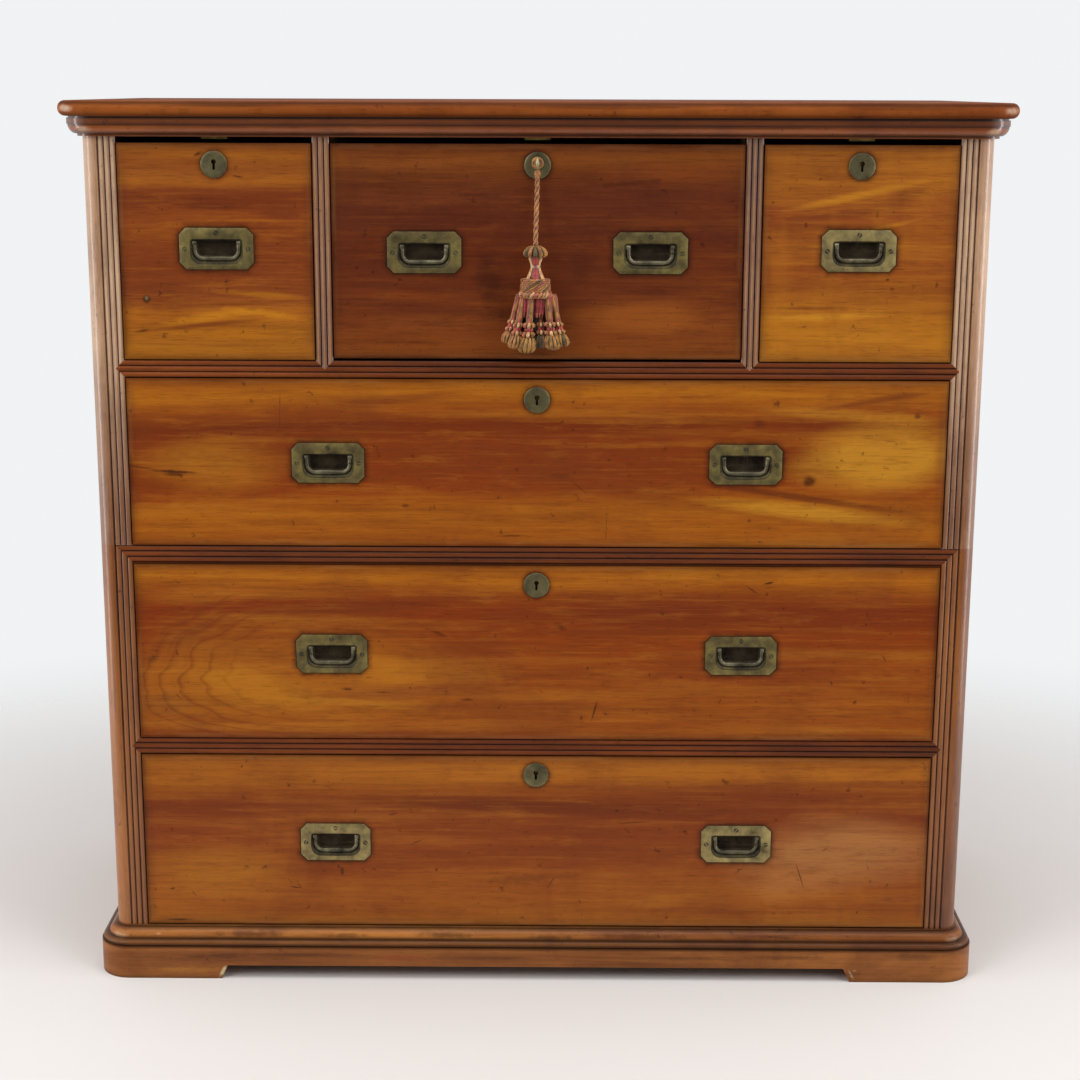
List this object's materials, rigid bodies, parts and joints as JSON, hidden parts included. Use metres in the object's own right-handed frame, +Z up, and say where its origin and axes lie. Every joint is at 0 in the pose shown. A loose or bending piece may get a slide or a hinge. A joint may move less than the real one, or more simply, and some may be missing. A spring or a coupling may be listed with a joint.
{
  "type": "campaign chest",
  "caption": "Two-part campaign secretaire chest with reeded rounded corners, moulded cornice and plinth, flush brass bail handles, a fall front and a tasselled key",
  "frame": {"origin": "on the floor, under the middle of the chest's width and depth", "axes": "+X to the right seen from the front, +Y from the front to the back, +Z up"},
  "size_m": [1.128, 0.5195, 1.093],
  "materials": {
    "camphorwood": "wax-polished orange-brown camphorwood",
    "carcase_wood": "plain planed secondary wood",
    "brass": "aged, tarnished",
    "steel": "worn",
    "leather": "skiver writing leather",
    "gold_passementerie": "twisted gold and red cord"
  },
  "bodies": {
    "lower_case": {"plinth_front": "camphorwood", "plinth_sides": "camphorwood", "plinth_back": "carcase_wood", "lower_columns": "camphorwood", "lower_sides": "camphorwood", "lower_top_rail": "camphorwood", "lower_middle_rail": "camphorwood", "lower_boards": "carcase_wood", "lower_back": "carcase_wood", "locating_pegs": "carcase_wood"},
    "upper_case": {"upper_columns": "camphorwood", "upper_sides": "camphorwood", "upper_rail": "camphorwood", "upper_dividers": "camphorwood", "upper_partitions": "carcase_wood", "upper_boards": "carcase_wood", "upper_back": "carcase_wood", "top_board": "camphorwood", "under_top": "carcase_wood", "cornice_moulding": "camphorwood", "strike_plates": "brass"},
    "bottom_drawer": {"bottom_drawer_front": "camphorwood", "bottom_drawer_box": "carcase_wood", "bottom_drawer_brass": "brass"},
    "middle_drawer": {"middle_drawer_front": "camphorwood", "middle_drawer_box": "carcase_wood", "middle_drawer_brass": "brass"},
    "long_drawer": {"long_drawer_front": "camphorwood", "long_drawer_box": "carcase_wood", "long_drawer_brass": "brass"},
    "left_drawer": {"left_drawer_front": "camphorwood", "left_drawer_box": "carcase_wood", "left_drawer_brass": "brass"},
    "right_drawer": {"right_drawer_front": "camphorwood", "right_drawer_box": "carcase_wood", "right_drawer_brass": "brass"},
    "secretaire_drawer": {"secretaire_box": "carcase_wood", "fall_hinges": "brass", "pigeonholes": "carcase_wood"},
    "fall": {"fall_front": "camphorwood", "writing_leather": "leather", "fall_brass": "brass", "fall_stays": "brass", "cord_eye": "gold_passementerie"},
    "lock_bolt": {"lock_bolt": "brass"},
    "key": {"key": "steel"},
    "hanging_tassel": {"tassel_cord": "gold_passementerie", "tassel": "gold_passementerie"},
    "small_left_drawer": {"small_left_drawer": "camphorwood"},
    "small_right_drawer": {"small_right_drawer": "camphorwood"},
    "bottom_drawer_left_bail": {"bottom_drawer_left_bail": "brass"},
    "bottom_drawer_right_bail": {"bottom_drawer_right_bail": "brass"},
    "middle_drawer_left_bail": {"middle_drawer_left_bail": "brass"},
    "middle_drawer_right_bail": {"middle_drawer_right_bail": "brass"},
    "long_drawer_left_bail": {"long_drawer_left_bail": "brass"},
    "long_drawer_right_bail": {"long_drawer_right_bail": "brass"},
    "left_drawer_bail": {"left_drawer_bail": "brass"},
    "right_drawer_bail": {"right_drawer_bail": "brass"},
    "fall_left_bail": {"fall_left_bail": "brass"},
    "fall_right_bail": {"fall_right_bail": "brass"}
  },
  "joints": [
    {"name": "upper_case_lift", "type": "slide", "parent": "lower_case", "child": "upper_case", "axis": [0, 0, 1], "range_m": [0, 0.1]},
    {"name": "bottom_drawer_slide", "type": "slide", "parent": "lower_case", "child": "bottom_drawer", "axis": [0, -1, 0], "range_m": [0, 0.4]},
    {"name": "middle_drawer_slide", "type": "slide", "parent": "lower_case", "child": "middle_drawer", "axis": [0, -1, 0], "range_m": [0, 0.4]},
    {"name": "long_drawer_slide", "type": "slide", "parent": "upper_case", "child": "long_drawer", "axis": [0, -1, 0], "range_m": [0, 0.41]},
    {"name": "left_drawer_slide", "type": "slide", "parent": "upper_case", "child": "left_drawer", "axis": [0, -1, 0], "range_m": [0, 0.38]},
    {"name": "right_drawer_slide", "type": "slide", "parent": "upper_case", "child": "right_drawer", "axis": [0, -1, 0], "range_m": [0, 0.38]},
    {"name": "secretaire_slide", "type": "slide", "parent": "upper_case", "child": "secretaire_drawer", "axis": [0, -1, 0], "range_m": [0, 0.24]},
    {"name": "fall_hinge", "type": "hinge", "parent": "secretaire_drawer", "child": "fall", "pos_m": [0, -0.216, 0.8002], "axis": [1, 0, 0], "range_deg": [0, 90]},
    {"name": "key_turn", "type": "hinge", "parent": "fall", "child": "key", "pos_m": [0, -0.225, 1.023], "axis": [0, -1, 0], "range_deg": [0, 180.5]},
    {"name": "bolt_throw", "type": "slide", "parent": "fall", "child": "lock_bolt", "axis": [0, 0, 1], "range_m": [0, 0.0065]},
    {"name": "tassel_swing", "type": "hinge", "parent": "fall", "child": "hanging_tassel", "pos_m": [0, -0.233, 1.0108], "axis": [-1, 0, 0], "range_deg": [0, 91]},
    {"name": "small_left_drawer_slide", "type": "slide", "parent": "secretaire_drawer", "child": "small_left_drawer", "axis": [0, -1, 0], "range_m": [0, 0.13]},
    {"name": "small_right_drawer_slide", "type": "slide", "parent": "secretaire_drawer", "child": "small_right_drawer", "axis": [0, -1, 0], "range_m": [0, 0.13]},
    {"name": "bottom_drawer_left_bail_hinge", "type": "hinge", "parent": "bottom_drawer", "child": "bottom_drawer_left_bail", "pos_m": [-0.253, -0.2218, 0.1835], "axis": [-1, 0, 0], "range_deg": [0, 90]},
    {"name": "bottom_drawer_right_bail_hinge", "type": "hinge", "parent": "bottom_drawer", "child": "bottom_drawer_right_bail", "pos_m": [0.253, -0.2218, 0.1835], "axis": [-1, 0, 0], "range_deg": [0, 90]},
    {"name": "middle_drawer_left_bail_hinge", "type": "hinge", "parent": "middle_drawer", "child": "middle_drawer_left_bail", "pos_m": [-0.253, -0.2218, 0.43075], "axis": [-1, 0, 0], "range_deg": [0, 90]},
    {"name": "middle_drawer_right_bail_hinge", "type": "hinge", "parent": "middle_drawer", "child": "middle_drawer_right_bail", "pos_m": [0.253, -0.2218, 0.43075], "axis": [-1, 0, 0], "range_deg": [0, 90]},
    {"name": "long_drawer_left_bail_hinge", "type": "hinge", "parent": "long_drawer", "child": "long_drawer_left_bail", "pos_m": [-0.253, -0.2218, 0.671], "axis": [-1, 0, 0], "range_deg": [0, 90]},
    {"name": "long_drawer_right_bail_hinge", "type": "hinge", "parent": "long_drawer", "child": "long_drawer_right_bail", "pos_m": [0.253, -0.2218, 0.671], "axis": [-1, 0, 0], "range_deg": [0, 90]},
    {"name": "left_drawer_bail_hinge", "type": "hinge", "parent": "left_drawer", "child": "left_drawer_bail", "pos_m": [-0.38, -0.2218, 0.92825], "axis": [-1, 0, 0], "range_deg": [0, 90]},
    {"name": "right_drawer_bail_hinge", "type": "hinge", "parent": "right_drawer", "child": "right_drawer_bail", "pos_m": [0.38, -0.2218, 0.92825], "axis": [-1, 0, 0], "range_deg": [0, 90]},
    {"name": "fall_left_bail_hinge", "type": "hinge", "parent": "fall", "child": "fall_left_bail", "pos_m": [-0.134, -0.2218, 0.92475], "axis": [-1, 0, 0], "range_deg": [0, 90]},
    {"name": "fall_right_bail_hinge", "type": "hinge", "parent": "fall", "child": "fall_right_bail", "pos_m": [0.134, -0.2218, 0.92475], "axis": [-1, 0, 0], "range_deg": [0, 90]}
  ],
  "couplings": [
    {"joint": "key_turn", "follows": "bolt_throw", "rad_per_m": 483.32},
    {"joint": "tassel_swing", "follows": "fall_hinge", "ratio": 1}
  ]
}
